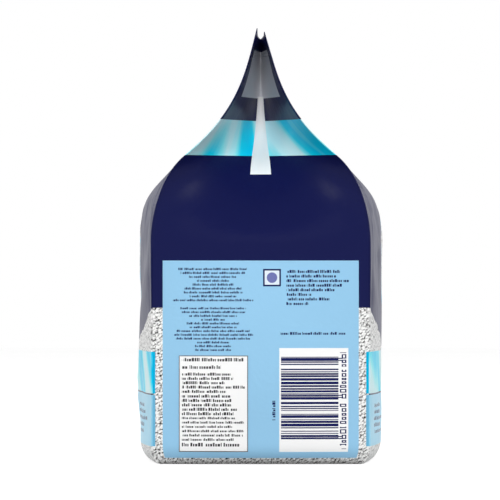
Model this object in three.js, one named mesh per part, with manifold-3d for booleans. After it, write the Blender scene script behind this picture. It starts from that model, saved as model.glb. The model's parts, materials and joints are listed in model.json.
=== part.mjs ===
// A filled side-gusset film bag of granules, standing on its base, with an adhesive label
// stuck on one gusset. Millimetres, +Z up. X runs through the bag from back to front, Y runs
// along its wide side, and the labelled gusset faces -Y. The origin is the base's centre.

import * as THREE from 'three';
import { mergeVertices } from 'three/addons/utils/BufferGeometryUtils.js';
import Module from 'manifold-3d';

const wasm = await Module();
wasm.setup();

// Film sizes
const panelWidth = 250; // front and back panels, laid flat
const gussetWidth = 120; // each side gusset, laid flat
const creaseEdge = 1; // the film pinched together along each upright crease

// Standing body
const bagHeight = 240; // base to the highest corner of the mouth
const panelBulge = 8; // the fill pushes the front and back out by this at mid width
const gussetBulge = 8; // and the middle of each gusset by this
const widthDraw = 3; // and so draws the creases in by this at each end
const bulgeHeight = 45; // height where the fill pushes hardest
const footRound = 9; // how far the lower edges are rounded in
const footRise = 11; // height of that rounding
const cornerRound = 5; // how far the lower corners are rounded in

// Shoulders and neck
const foldStart = 122; // height where the gussets begin to fold in
const foldEase = 10; // upright reach of the creases above foldStart
const levelFill = 145; // the panels' bulge starts to fade here, and is gone at the neck
const neckHeight = 170; // where the round shoulder turns into the hollow neck
const neckDepth = 83; // front crease to back crease at the neck
const neckSlope = 40; // degrees from the floor to the film at the neck
const shoulderReach = 21; // reach of the shoulder's round below the neck
const hollowReach = 38; // reach of the hollow above the neck
const neckHollow = 2.5; // the panels hang in by this between their creases

// Mouth, pressed flat and sealed
const mouthGap = 4; // between the lips at the ends of the mouth
const mouthLean = 14; // degrees between each lip and upright
const lipReach = 28; // length over which the lips lean
const sealThickness = 1.5; // the pressed films at mid width
const sealHeight = 12;
const mouthDip = 4; // the sealed edge lies this much below its highest corners
const cornerReach = 14; // length of each raised corner
const frontCornerDrop = 2; // the front corners end this much lower than the back ones

// Folded underside
const finWidth = 14; // the lower seal's fin, laid flat along the base
const tuckReach = 58; // how far each gusset's tuck reaches under the base
const foldLineWidth = 1.6;
const foldLineDepth = 0.6;

// Adhesive label
const labelWidth = 38;
const labelHeight = 53;
const labelThickness = 0.3;
const labelGap = 0.3; // clearance between the label and the film's facets
const labelSide = 26; // from the gusset's middle to the label's middle
const labelFoot = 7; // from the floor to the label's lower edge

// Facets
const gussetFacets = 8; // on each half of a gusset
const panelFacets = 14; // on each half of a panel
const footFacets = 5;
const bodyFacets = 7;
const shoulderFacets = 9;
const neckFacets = 11;
const sealFacets = 3;
const labelFacets = 10;

// Worked out from the sizes above
const halfGusset = gussetWidth / 2;
const halfPanel = panelWidth / 2;
const edge = creaseEdge / 2;
const sealFoot = bagHeight - mouthDip - sealHeight;
const { degToRad, smoothstep } = THREE.MathUtils;

function pointAlong(start, degreesFromFloor, reach) {
  const angle = degToRad(degreesFromFloor);
  return new THREE.Vector2(start.x + reach * Math.cos(angle), start.y + reach * Math.sin(angle));
}

// Each crease runs up these two curves, drawn as half the bag's depth against its height.
const neck = new THREE.Vector2(neckDepth / 2, neckHeight);
const lip = new THREE.Vector2(mouthGap / 2, bagHeight);
const shoulderCurve = new THREE.CubicBezierCurve(
  new THREE.Vector2(halfGusset, foldStart),
  new THREE.Vector2(halfGusset, foldStart + foldEase),
  pointAlong(neck, -neckSlope, shoulderReach),
  neck,
);
const neckCurve = new THREE.CubicBezierCurve(
  neck,
  pointAlong(neck, 180 - neckSlope, hollowReach),
  pointAlong(lip, mouthLean - 90, lipReach),
  lip,
);

// How far across a rising curve is at a height, found by halving.
function acrossAt(curve, height) {
  let low = 0;
  let high = 1;
  for (let step = 0; step < 30; step += 1) {
    const middle = (low + high) / 2;
    if (curve.getPoint(middle).y < height) {
      low = middle;
    } else {
      high = middle;
    }
  }
  return curve.getPoint(high).x;
}

function halfDepth(z) {
  if (z <= foldStart) {
    return halfGusset;
  }
  return acrossAt(z < neckHeight ? shoulderCurve : neckCurve, z);
}

function halfLength(z) {
  return halfPanel - widthDraw * (1 - smoothstep(z, foldStart, neckHeight));
}

// The share of the lower rounding left at a height: 1 on the floor and 0 above it.
function footShare(z) {
  const below = 1 - Math.min(z / footRise, 1);
  return 1 - Math.sqrt(1 - below ** 2);
}

// The film keeps its width, so a gusset folds in as its two creases come together.
function foldDepth(z) {
  return Math.sqrt(Math.max(halfGusset ** 2 - halfDepth(z) ** 2, 0));
}

// The fill's push on a gusset: three quarters at the floor, full at bulgeHeight, none at the neck.
function gussetSwell(z) {
  const low = 0.75 + 0.25 * smoothstep(z, 0, bulgeHeight);
  return gussetBulge * low * (1 - smoothstep(z, bulgeHeight, neckHeight));
}

function crease(z) {
  const drawn = cornerRound * footShare(z);
  return new THREE.Vector2(halfDepth(z) - drawn, halfLength(z) - drawn);
}

// How far a point of the gusset lies from the bag's middle along Y. across is 0 at the
// gusset's middle and 1 at a crease.
function gussetReach(across, z) {
  const round = (footRound - cornerRound) * footShare(z);
  return crease(z).y - foldDepth(z) * (1 - across) + (gussetSwell(z) - round) * (1 - across ** 2);
}

// How far a point of a panel lies from the bag's middle along X. along is 0 at mid width and
// 1 at a crease.
function panelReach(along, z) {
  const crown = 1 - along ** 2.4;
  const round = (footRound - cornerRound) * footShare(z);
  const swell = panelBulge * (1 - smoothstep(z, levelFill, neckHeight));
  const pressed = smoothstep(z, neckHeight, sealFoot);
  const flat = (lip.x - sealThickness / 2) * pressed;
  const hollow = neckHollow * 4 * pressed * (1 - pressed);
  return crease(z).x + edge * along + (swell - flat - hollow - round) * crown;
}

// The sealed edge rises to its corners, so heights in the seal band are stretched to meet it.
function standingHeight(x, y, z) {
  if (z <= sealFoot) {
    return z;
  }
  const fromEnd = Math.min(Math.max(halfPanel - Math.abs(y), 0) / cornerReach, 1);
  const corner = mouthDip - (x > 0 ? frontCornerDrop : 0);
  const top = bagHeight - mouthDip + corner * (1 - fromEnd) ** 2;
  return sealFoot + (z - sealFoot) * (top - sealFoot) / (bagHeight - sealFoot);
}

function standing(x, y, z) {
  return new THREE.Vector3(x, y, standingHeight(x, y, z));
}

function gussetSide(end, z) {
  const points = [];
  for (let i = -gussetFacets; i <= gussetFacets; i += 1) {
    const across = i / gussetFacets;
    const x = across * (crease(z).x - edge);
    points.push(standing(-end * x, end * gussetReach(Math.abs(across), z), z));
  }
  return points;
}

// Facets are closer together towards the creases.
function panelSide(face, z) {
  const points = [];
  for (let i = -panelFacets; i <= panelFacets; i += 1) {
    const along = 1 - (1 - Math.abs(i) / panelFacets) ** 1.4;
    const y = Math.sign(i) * along * crease(z).y;
    points.push(standing(face * panelReach(along, z), face * y, z));
  }
  return points;
}

function creaseTip(face, end, z) {
  return standing(face * crease(z).x, end * (crease(z).y + edge), z);
}

// The film's outline at one height, anticlockwise from above.
function outline(z) {
  return [
    ...gussetSide(-1, z),
    creaseTip(1, -1, z),
    ...panelSide(1, z),
    creaseTip(1, 1, z),
    ...gussetSide(1, z),
    creaseTip(-1, 1, z),
    ...panelSide(-1, z),
    creaseTip(-1, -1, z),
  ];
}

function steps(from, to, count) {
  return Array.from({ length: count }, (_, i) => from + (to - from) * (i + 1) / count);
}

function outlineHeights() {
  const foot = steps(0, Math.PI / 2, footFacets).map((turn) => footRise * (1 - Math.cos(turn)));
  return [
    0,
    ...foot,
    ...steps(footRise, foldStart, bodyFacets),
    ...steps(foldStart, neckHeight, shoulderFacets),
    ...steps(neckHeight, sealFoot, neckFacets),
    ...steps(sealFoot, bagHeight, sealFacets),
  ];
}

// Joins rings of points, lowest first, and closes the first and last with flat facets.
function loft(rings) {
  const around = rings[0].length;
  const faces = [];
  for (let row = 0; row + 1 < rings.length; row += 1) {
    for (let i = 0; i < around; i += 1) {
      const a = row * around + i;
      const b = row * around + (i + 1) % around;
      faces.push([a, b, b + around], [a, b + around, a + around]);
    }
  }
  const lastRing = (rings.length - 1) * around;
  const lowCap = THREE.ShapeUtils.triangulateShape(rings[0], []);
  const highCap = THREE.ShapeUtils.triangulateShape(rings.at(-1), []);
  faces.push(...lowCap.map(([a, b, c]) => [a, c, b]));
  faces.push(...highCap.map((face) => face.map((i) => lastRing + i)));
  return toSolid(rings.flat(), faces);
}

function toSolid(points, faces) {
  const vertProperties = new Float32Array(points.flatMap((point) => point.toArray()));
  const triVerts = new Uint32Array(faces.flat());
  return new wasm.Manifold(new wasm.Mesh({ numProp: 3, vertProperties, triVerts }));
}

function fromGeometry(geometry) {
  geometry.deleteAttribute('normal');
  geometry.deleteAttribute('uv');
  const merged = mergeVertices(geometry);
  const vertProperties = merged.getAttribute('position').array;
  const triVerts = new Uint32Array(merged.index.array);
  return new wasm.Manifold(new wasm.Mesh({ numProp: 3, vertProperties, triVerts }));
}

// A shallow bar along a fold of the underside, half of it above the floor.
function foldBar(from, to) {
  const run = new THREE.Vector2().subVectors(to, from);
  const bar = new THREE.BoxGeometry(run.length(), foldLineWidth, 2 * foldLineDepth);
  bar.rotateZ(run.angle());
  bar.translate((from.x + to.x) / 2, (from.y + to.y) / 2, 0);
  return fromGeometry(bar);
}

// The fin's two edges, and the two folds of each gusset's tuck from the base's corners to the fin.
function foldBars() {
  const corner = crease(0);
  const finEdge = finWidth / 2;
  const meetsFin = corner.y - tuckReach * (corner.x - finEdge) / corner.x;
  const bars = [];
  for (const side of [-1, 1]) {
    const finEnd = new THREE.Vector2(side * finEdge, panelWidth / 2);
    bars.push(foldBar(finEnd.clone().setY(-finEnd.y), finEnd));
    for (const end of [-1, 1]) {
      const start = new THREE.Vector2(side * corner.x, end * corner.y);
      bars.push(foldBar(start, new THREE.Vector2(side * finEdge, end * meetsFin)));
    }
  }
  return bars;
}

function filledBag() {
  const film = loft(outlineHeights().map(outline));
  return foldBars().reduce((bag, bar) => bag.subtract(bar), film);
}

// The label follows the gusset, a clearance outside it. Each ring runs along the outer face
// and back along the inner one.
function adhesiveLabel() {
  const left = -labelSide - labelWidth / 2;
  const stations = [left, ...steps(left, left + labelWidth, labelFacets)];
  const heights = [labelFoot, ...steps(labelFoot, labelFoot + labelHeight, labelFacets)];
  const face = (z, off) => stations.map((x) => {
    const across = Math.abs(x) / (crease(z).x - edge);
    return new THREE.Vector3(x, -gussetReach(across, z) - off, z);
  });
  return loft(heights.map((z) => {
    const outer = face(z, labelGap + labelThickness);
    const inner = face(z, labelGap).reverse();
    return [...outer, ...inner];
  }));
}

function named(name, solid, look) {
  const { vertProperties, triVerts } = solid.getMesh();
  const geometry = new THREE.BufferGeometry();
  geometry.setAttribute('position', new THREE.BufferAttribute(vertProperties, 3));
  geometry.setIndex(new THREE.BufferAttribute(triVerts, 1));
  geometry.computeVertexNormals();
  const mesh = new THREE.Mesh(geometry, new THREE.MeshStandardMaterial(look));
  mesh.name = name;
  return mesh;
}

const pack = new THREE.Group();
pack.add(named('filled_bag', filledBag(), { color: 0x1e2150, roughness: 0.3, metalness: 0 }));
pack.add(named('adhesive_label', adhesiveLabel(), { color: 0xf2f2f2, roughness: 0.6, metalness: 0 }));

export default pack;
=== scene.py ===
import json
import math

import bmesh
import bpy
import numpy as np
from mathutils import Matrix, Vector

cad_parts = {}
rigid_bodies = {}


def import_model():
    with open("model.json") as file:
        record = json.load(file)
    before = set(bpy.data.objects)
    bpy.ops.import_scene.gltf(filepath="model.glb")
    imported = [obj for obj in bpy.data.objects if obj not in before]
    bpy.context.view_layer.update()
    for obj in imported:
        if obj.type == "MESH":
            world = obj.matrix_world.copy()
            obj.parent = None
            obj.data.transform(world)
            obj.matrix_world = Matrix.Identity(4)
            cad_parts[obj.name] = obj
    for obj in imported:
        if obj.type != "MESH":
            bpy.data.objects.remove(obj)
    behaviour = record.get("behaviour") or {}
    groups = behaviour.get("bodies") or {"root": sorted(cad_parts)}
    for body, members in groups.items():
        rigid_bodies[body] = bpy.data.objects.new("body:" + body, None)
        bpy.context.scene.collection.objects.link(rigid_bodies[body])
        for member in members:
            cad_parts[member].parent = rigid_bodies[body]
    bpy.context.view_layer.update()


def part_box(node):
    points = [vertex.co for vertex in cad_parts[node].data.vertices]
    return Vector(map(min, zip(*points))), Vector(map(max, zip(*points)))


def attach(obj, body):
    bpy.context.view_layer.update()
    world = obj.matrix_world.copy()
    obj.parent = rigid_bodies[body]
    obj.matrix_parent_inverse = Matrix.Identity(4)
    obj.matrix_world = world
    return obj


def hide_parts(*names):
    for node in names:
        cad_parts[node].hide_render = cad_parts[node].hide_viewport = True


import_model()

# A filled side-gusset film bag of granules with a paper label on one gusset. Metres, +Z up.
# X runs from the back panel to the front one, and the labelled gusset faces -Y.

MM = 0.001

# The bag's form, as its solid has it, with the neck's slope and the mouth's lean in degrees. The
# crown is the power of a panel's curve across. The two shares are what the mouth presses off a
# crease's width, and what is left of the gusset's bulge at the floor.
_, BAG_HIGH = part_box("filled_bag")
BAG_HEIGHT = BAG_HIGH[2]
PANEL_WIDTH = 250 * MM
GUSSET_WIDTH = 120 * MM
CREASE_EDGE = 1.0 * MM
CREASE_PRESSED_SHARE = 0.6
PANEL_BULGE = 8 * MM
PANEL_CROWN = 2.4
GUSSET_BULGE = 8 * MM
FLOOR_BULGE_SHARE = 0.75
WIDTH_DRAW = 3 * MM
BULGE_HEIGHT = 45 * MM
FOOT_ROUND = 9 * MM
FOOT_RISE = 11 * MM
CORNER_ROUND = 5 * MM
FOLD_START = 122 * MM
FOLD_EASE = 10 * MM
LEVEL_FILL = 145 * MM
NECK_HEIGHT = 170 * MM
NECK_DEPTH = 83 * MM
NECK_SLOPE = 40
SHOULDER_REACH = 21 * MM
HOLLOW_REACH = 38 * MM
NECK_HOLLOW = 2.5 * MM
MOUTH_GAP = 4 * MM
MOUTH_LEAN = 14
LIP_REACH = 28 * MM
SEAL_THICKNESS = 1.5 * MM
SEAL_HEIGHT = 12 * MM
MOUTH_DIP = 4 * MM
CORNER_REACH = 14 * MM
FRONT_CORNER_DROP = 2 * MM
TUCK_REACH = 58 * MM
FIN_WIDTH = 14 * MM

# The base's film is lifted off the floor by this, and comes down over this share of its reach
BASE_LIFT = 0.5 * MM
BASE_EASE = 0.25

# How the film eases into the gusset's fold, where the solid has sharp lines. The two rounds are
# shares of half the gusset's width.
FOLD_ONSET = 12 * MM
FOLD_SET = 200 * MM
FOLD_START_ROUND = 0.35
FOLD_LINE_ROUND = 0.25

HALF_GUSSET = GUSSET_WIDTH / 2
HALF_PANEL = PANEL_WIDTH / 2
EDGE = CREASE_EDGE / 2
SEAL_FOOT = BAG_HEIGHT - MOUTH_DIP - SEAL_HEIGHT
AROUND = 2 * (PANEL_WIDTH + GUSSET_WIDTH)

# Mesh fineness. A panel's columns crowd towards its creases by a power, and a column stands on
# the tip of each crease.
GUSSET_STEPS = 70
PANEL_STEPS = 150
COLUMN_CROWDING = 1.25
TIP_LENGTH = 0.6 * MM
FOOT_STEPS = 8
BODY_STEPS = 60
SHOULDER_STEPS = 30
NECK_STEPS = 36
SEAL_STEPS = 9
BASE_STEPS = 10
FILM_WELD = 0.02 * MM
FILM_SMOOTH_ANGLE = 50


def pick_only(piece):
    bpy.ops.object.select_all(action="DESELECT")
    piece.select_set(True)
    bpy.context.view_layer.objects.active = piece


def turn_outwards(piece, smooth_angle, weld=None):
    """Welds doubles where asked, turns the faces outwards and smooths them up to an angle."""
    pick_only(piece)
    bpy.ops.object.mode_set(mode="EDIT")
    bpy.ops.mesh.select_all(action="SELECT")
    if weld:
        bpy.ops.mesh.remove_doubles(threshold=weld)
    bpy.ops.mesh.normals_make_consistent(inside=False)
    bpy.ops.object.mode_set(mode="OBJECT")
    bpy.ops.object.shade_smooth_by_angle(angle=math.radians(smooth_angle))


def ease(x, low, high):
    share = np.clip((x - low) / (high - low), 0, 1)
    return share * share * (3 - 2 * share)


def bezier(points, count=160):
    t = np.linspace(0, 1, count)[:, None]
    a, b, c, d = (np.array(p) for p in points)
    return (1 - t) ** 3 * a + 3 * (1 - t) ** 2 * t * b + 3 * (1 - t) * t**2 * c + t**3 * d


def point_along(start, degrees_from_floor, reach):
    turn = math.radians(degrees_from_floor)
    return (start[0] + reach * math.cos(turn), start[1] + reach * math.sin(turn))


def crease_line():
    """Half the bag's depth at the creases against height, above the start of the fold."""
    neck = (NECK_DEPTH / 2, NECK_HEIGHT)
    lip = (MOUTH_GAP / 2, BAG_HEIGHT)
    shoulder = bezier([
        (HALF_GUSSET, FOLD_START),
        (HALF_GUSSET, FOLD_START + FOLD_EASE),
        point_along(neck, -NECK_SLOPE, SHOULDER_REACH),
        neck,
    ])
    hollow = bezier([
        neck,
        point_along(neck, 180 - NECK_SLOPE, HOLLOW_REACH),
        point_along(lip, MOUTH_LEAN - 90, LIP_REACH),
        lip,
    ])
    return np.vstack([shoulder, hollow[1:]])


CREASE_LINE = crease_line()


def half_depth(z):
    return np.interp(z, CREASE_LINE[:, 1], CREASE_LINE[:, 0])


def half_length(z):
    return HALF_PANEL - WIDTH_DRAW * (1 - ease(z, FOLD_START, NECK_HEIGHT))


def foot_share(z):
    """1 at the floor and 0 above the rounded foot, along a quarter circle."""
    below = 1 - np.clip(z / FOOT_RISE, 0, 1)
    return 1 - np.sqrt(1 - below**2)


def edge(z):
    """Half the width of a crease, which is pressed thinner towards the mouth."""
    return EDGE * (1 - CREASE_PRESSED_SHARE * ease(z, NECK_HEIGHT, BAG_HEIGHT))


def crease_x(z):
    return half_depth(z) - CORNER_ROUND * foot_share(z)


def crease_y(z):
    return half_length(z) - CORNER_ROUND * foot_share(z)


def gusset_reach(across, z):
    """How far the gusset lies from the bag's middle along Y."""
    fold = np.sqrt(np.maximum(HALF_GUSSET**2 - half_depth(z) ** 2, 0))
    stiff = 1 - ease(z, FOLD_START, FOLD_SET)
    onset = FOLD_ONSET * stiff
    fold = np.hypot(fold, onset) - onset
    turn = FOLD_LINE_ROUND + (FOLD_START_ROUND - FOLD_LINE_ROUND) * stiff
    to_crease = (np.hypot(across, turn) - turn) / (np.hypot(1, turn) - turn)
    low = FLOOR_BULGE_SHARE + (1 - FLOOR_BULGE_SHARE) * ease(z, 0, BULGE_HEIGHT)
    swell = GUSSET_BULGE * low * (1 - ease(z, BULGE_HEIGHT, NECK_HEIGHT))
    tuck = (FOOT_ROUND - CORNER_ROUND) * foot_share(z)
    return crease_y(z) - fold * (1 - to_crease) + (swell - tuck) * (1 - across**2)


def panel_reach(along, z):
    """How far a panel lies from the bag's middle along X."""
    crown = 1 - along**PANEL_CROWN
    tuck = (FOOT_ROUND - CORNER_ROUND) * foot_share(z)
    swell = PANEL_BULGE * (1 - ease(z, LEVEL_FILL, NECK_HEIGHT))
    pressed = ease(z, NECK_HEIGHT, SEAL_FOOT)
    flat = (MOUTH_GAP / 2 - SEAL_THICKNESS / 2) * pressed
    hollow = NECK_HOLLOW * 4 * pressed * (1 - pressed)
    return crease_x(z) + edge(z) * along + (swell - flat - hollow - tuck) * crown


def standing_height(x, y, z):
    """The height of a point once the mouth's corners stand up past its middle."""
    from_end = np.clip((HALF_PANEL - np.abs(y)) / CORNER_REACH, 0, 1)
    corner = MOUTH_DIP - np.where(x > 0, FRONT_CORNER_DROP, 0)
    top = BAG_HEIGHT - MOUTH_DIP + corner * (1 - from_end) ** 2
    stretched = SEAL_FOOT + (z - SEAL_FOOT) * (top - SEAL_FOOT) / (BAG_HEIGHT - SEAL_FOOT)
    return np.where(z > SEAL_FOOT, stretched, z)


# Soft folds that the film takes over the fill. Each is a ridge from one point of a panel to
# another, given as share of the half width and as height in metres, with its width and how far it
# stands out.
PANEL_FOLDS = [
    ((0.93, 0.150), (0.55, 0.208), 6 * MM, -2.4 * MM),
    ((0.86, 0.146), (0.42, 0.194), 6 * MM, 1.7 * MM),
    ((0.97, 0.124), (0.78, 0.180), 5 * MM, 1.4 * MM),
    ((-0.95, 0.146), (-0.60, 0.211), 6 * MM, -2.2 * MM),
    ((-0.88, 0.138), (-0.36, 0.186), 7 * MM, 1.8 * MM),
    ((-0.30, 0.160), (-0.16, 0.216), 7 * MM, -1.5 * MM),
    ((0.22, 0.156), (0.10, 0.218), 8 * MM, 1.5 * MM),
    ((0.05, 0.146), (-0.04, 0.204), 6 * MM, -1.3 * MM),
    ((0.60, 0.164), (0.70, 0.222), 6 * MM, 1.2 * MM),
    ((-0.72, 0.166), (-0.80, 0.222), 5 * MM, 1.2 * MM),
    ((0.985, 0.030), (0.93, 0.115), 4 * MM, -1.0 * MM),
    ((-0.985, 0.022), (-0.92, 0.120), 4 * MM, -1.1 * MM),
    ((0.90, 0.016), (0.62, 0.030), 5 * MM, -0.9 * MM),
    ((-0.92, 0.018), (-0.58, 0.034), 5 * MM, -0.9 * MM),
]
# Shares of a fold's length over which it rises at its start and runs out at its end
FOLD_RISES = (-0.25, 0.3)
FOLD_RUNS_OUT = (0.7, 1.2)
# How far the relief may stand out over the fill. Above the fill this fades away, so that the film
# folds only inwards.
FOLD_PROUD = 2.5 * MM
PROUD_FADE = 30 * MM

# Small sharp creases: how many, one in how many is near the foot, where they lie, and the least
# and most of their lean in radians and of each of their measures
CREASES = 46
FOOT_CREASE_EVERY = 5
CREASE_SPREAD = 0.94
CREASE_PLACES = (118 * MM, 222 * MM)
FOOT_CREASE_PLACES = (14 * MM, 40 * MM)
CREASE_LEAN = (0.25, 1.35)
CREASE_REACH = (9 * MM, 30 * MM)
CREASE_WIDTH = (1.8 * MM, 3.6 * MM)
CREASE_HEIGHT = (0.25 * MM, 0.75 * MM)
CREASE_TOP_ROUND = 0.25
CREASE_SEEDS = {1: 5, -1: 8}

# The film's slow waver: its waves' lengths, and its height and seeds on panels and gussets
SWAY_LENGTHS = (95 * MM, 61 * MM, 43 * MM, 31 * MM)
PANEL_SWAY = 1.5 * MM
PANEL_SWAY_SEEDS = {1: 11, -1: 23}
GUSSET_SWAY = 0.2 * MM
GUSSET_SWAY_SEEDS = {-1: 37, 1: 41}

# Where the relief is held still: towards the creases, by a power, at the foot, over so many times
# the foot's rise, and on panels from this height up to the seal
PANEL_HOLD = 8
PANEL_FOOT_HOLD = 3
GUSSET_HOLD = 4
GUSSET_FOOT_HOLD = 2
PANEL_STILL_FROM = 200 * MM


def small_creases(seed):
    """Short folds strewn over the shoulder and neck, and a few near the foot."""
    random = np.random.default_rng(seed)
    creases = []
    for i in range(CREASES):
        places = FOOT_CREASE_PLACES if i % FOOT_CREASE_EVERY == 0 else CREASE_PLACES
        y = random.uniform(-CREASE_SPREAD, CREASE_SPREAD) * HALF_PANEL
        z = random.uniform(*places)
        lean = random.uniform(*CREASE_LEAN) * random.choice([-1, 1])
        reach = random.uniform(*CREASE_REACH)
        width = random.uniform(*CREASE_WIDTH)
        height = random.uniform(*CREASE_HEIGHT) * random.choice([-1, 1])
        run, rise = reach * math.cos(lean), reach * math.sin(lean)
        start = ((y - run) / HALF_PANEL, z - rise)
        end = ((y + run) / HALF_PANEL, z + rise)
        creases.append((start, end, width, height))
    return creases


def fold_relief(along, z, folds, crest):
    """Adds up the ridges, each a crest that runs out at its ends."""
    relief = np.zeros_like(z)
    for (a0, z0), (a1, z1), width, height in folds:
        start = np.array([a0 * HALF_PANEL, z0])
        run = np.array([a1 * HALF_PANEL, z1]) - start
        length = math.hypot(*run)
        run /= length
        du = along * HALF_PANEL - start[0]
        dz = z - start[1]
        ahead = (du * run[0] + dz * run[1]) / length
        beside = (du * run[1] - dz * run[0]) / width
        lasting = ease(ahead, *FOLD_RISES) * (1 - ease(ahead, *FOLD_RUNS_OUT))
        relief += height * crest(beside) * lasting
    return relief


def soft_crest(beside):
    return np.exp(-(beside**2))


def sharp_crest(beside):
    return np.exp(-np.hypot(beside, CREASE_TOP_ROUND))


def sway(u, z, seed):
    """A slow, even waver of the film, made of a few waves of different lengths."""
    random = np.random.default_rng(seed)
    total = np.zeros_like(z)
    for length in SWAY_LENGTHS:
        turn, shift = random.uniform(0, 2 * math.pi, 2)
        run = u * math.cos(turn) + z * math.sin(turn)
        total += length * np.sin(2 * math.pi * run / length + shift)
    return total / sum(SWAY_LENGTHS)


SMALL_CREASES = {face: small_creases(seed) for face, seed in CREASE_SEEDS.items()}


def panel_relief(face, side_y, z):
    along = side_y / HALF_PANEL
    free = (1 - np.abs(along) ** PANEL_HOLD) * ease(z, 0, PANEL_FOOT_HOLD * FOOT_RISE)
    free = free * (1 - ease(z, PANEL_STILL_FROM, SEAL_FOOT))
    folds = fold_relief(along * face, z, PANEL_FOLDS, soft_crest)
    folds += fold_relief(along, z, SMALL_CREASES[face], sharp_crest)
    relief = (folds + PANEL_SWAY * sway(side_y, z, PANEL_SWAY_SEEDS[face])) * free
    return np.minimum(relief, FOLD_PROUD * (1 - ease(z, FOLD_START, FOLD_START + PROUD_FADE)))


def gusset_relief(end, x, z):
    free = (1 - np.abs(x / HALF_GUSSET) ** GUSSET_HOLD) * ease(z, 0, GUSSET_FOOT_HOLD * FOOT_RISE)
    still = 1 - ease(z, FOLD_START, NECK_HEIGHT)
    return GUSSET_SWAY * sway(x, z, GUSSET_SWAY_SEEDS[end]) * free * still


def gusset_surface(end, across, z):
    """Points of a gusset. across runs from -1 at the back crease to 1 at the front one."""
    x = across * (crease_x(z) - edge(z))
    y = gusset_reach(np.abs(across), z) + gusset_relief(end, x, z)
    return x, end * y, z


def panel_surface(face, along, z):
    """Points of a panel. along runs from -1 at the -Y crease to 1 at the +Y one."""
    y = along * crease_y(z)
    x = panel_reach(np.abs(along), z) + panel_relief(face, y, z)
    return face * x, y, z


def side_columns(kind, sign, count, width, start, flip):
    """The columns of one gusset or panel, from one of its creases to the other."""
    columns = []
    for i in range(count + 1):
        share = -1 + 2 * i / count
        if kind == "panel":
            share = math.copysign(1 - (1 - abs(share)) ** COLUMN_CROWDING, share)
        columns.append((kind, sign, share * flip, start + (share + 1) * width / 2))
    return columns


def columns_around():
    """(kind, sign, place, film) for each upright line of the film, from the back crease of the
    -Y gusset all the way round. film is the distance along the unfolded film, and the front panel,
    the +Y gusset, the back panel and the film's end lie at front, far, back and close."""
    front, far = HALF_GUSSET, HALF_GUSSET + PANEL_WIDTH
    back, close = 3 * HALF_GUSSET + PANEL_WIDTH, AROUND - HALF_GUSSET
    return [
        *side_columns("gusset", -1, GUSSET_STEPS, GUSSET_WIDTH, -HALF_GUSSET, 1),
        ("tip", (1, -1), 0, front + TIP_LENGTH / 2),
        *side_columns("panel", 1, PANEL_STEPS, PANEL_WIDTH, front, 1),
        ("tip", (1, 1), 0, far + TIP_LENGTH / 2),
        *side_columns("gusset", 1, GUSSET_STEPS, GUSSET_WIDTH, far, -1),
        ("tip", (-1, 1), 0, back + TIP_LENGTH / 2),
        *side_columns("panel", -1, PANEL_STEPS, PANEL_WIDTH, back, -1),
        ("tip", (-1, -1), 0, close - TIP_LENGTH / 2),
        ("gusset", -1, -1, close),
    ]


def heights_up():
    turn = np.linspace(0, math.pi / 2, FOOT_STEPS + 1)
    return np.concatenate([
        FOOT_RISE * (1 - np.cos(turn)),
        np.linspace(FOOT_RISE, FOLD_START, BODY_STEPS + 1)[1:],
        np.linspace(FOLD_START, NECK_HEIGHT, SHOULDER_STEPS + 1)[1:],
        np.linspace(NECK_HEIGHT, SEAL_FOOT, NECK_STEPS + 1)[1:],
        np.linspace(SEAL_FOOT, BAG_HEIGHT, SEAL_STEPS + 1)[1:],
    ])


def column_points(column, z):
    kind, sign, place, _ = column
    if kind == "gusset":
        x, y, _ = gusset_surface(sign, place, z)
    elif kind == "panel":
        x, y, _ = panel_surface(sign, place, z)
    else:
        x, y = sign[0] * crease_x(z), sign[1] * (crease_y(z) + edge(z))
    return np.stack([x, y, standing_height(x, y, z)], axis=-1)


def base_rows(ring):
    """Rows from the base's middle line out to the foot. The film turns under, and the tucks'
    folds run from the corners to the ends of the middle line."""
    spine = BAG_HIGH[1] - GUSSET_BULGE - TUCK_REACH
    along = np.clip(ring[:, 1], -spine, spine)
    middle = np.stack([np.zeros(len(ring)), along, ring[:, 2]], axis=-1)
    rows = []
    for i in range(BASE_STEPS):
        share = i / BASE_STEPS
        row = middle + (ring - middle) * share
        row[:, 2] = BASE_LIFT * ease(1 - share, 0.0, BASE_EASE)
        rows.append(row)
    return rows


def zip_up(first, second, y):
    """Triangles between two runs of columns that both go up along Y."""
    faces = []
    i = j = 0
    while i + 1 < len(first) or j + 1 < len(second):
        if j + 1 == len(second) or (i + 1 < len(first) and y[first[i + 1]] < y[second[j + 1]]):
            faces.append((first[i], first[i + 1], second[j]))
            i += 1
        else:
            faces.append((first[i], second[j + 1], second[j]))
            j += 1
    return faces


def mouth_faces(y):
    """Triangles that close the mouth: between the two lips in the middle, and between a lip and
    its half of the folded gusset at each end. y holds the place of each column along Y."""
    half = GUSSET_STEPS // 2
    near = list(range(GUSSET_STEPS + 1))
    front = [near[-1] + 2 + i for i in range(PANEL_STEPS + 1)]
    far = [front[-1] + 2 + i for i in near]
    back = [far[-1] + 2 + i for i in range(PANEL_STEPS + 1)][::-1]
    near_fold, far_fold = near[half], far[half]
    start = sum(y[column] < y[near_fold] for column in front)
    stop = sum(y[column] < y[far_fold] for column in front)
    faces = [
        (near[-1] + 1, front[0], near[-1]), (front[-1] + 1, far[0], front[-1]),
        (far[-1] + 1, back[-1], far[-1]), (back[0] + 1, near[0], back[0]),
        (near_fold, front[start], back[start]), (far_fold, back[stop], front[stop]),
    ]
    faces += zip_up(front[:start + 1], near[half:][::-1], y)
    faces += zip_up(back[:start + 1], near[:half + 1], y)
    faces += zip_up(front[start:stop + 1], back[start:stop + 1], y)
    faces += zip_up(front[stop:], far[:half + 1][::-1], y)
    faces += zip_up(back[stop:], far[half:], y)
    return faces


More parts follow.
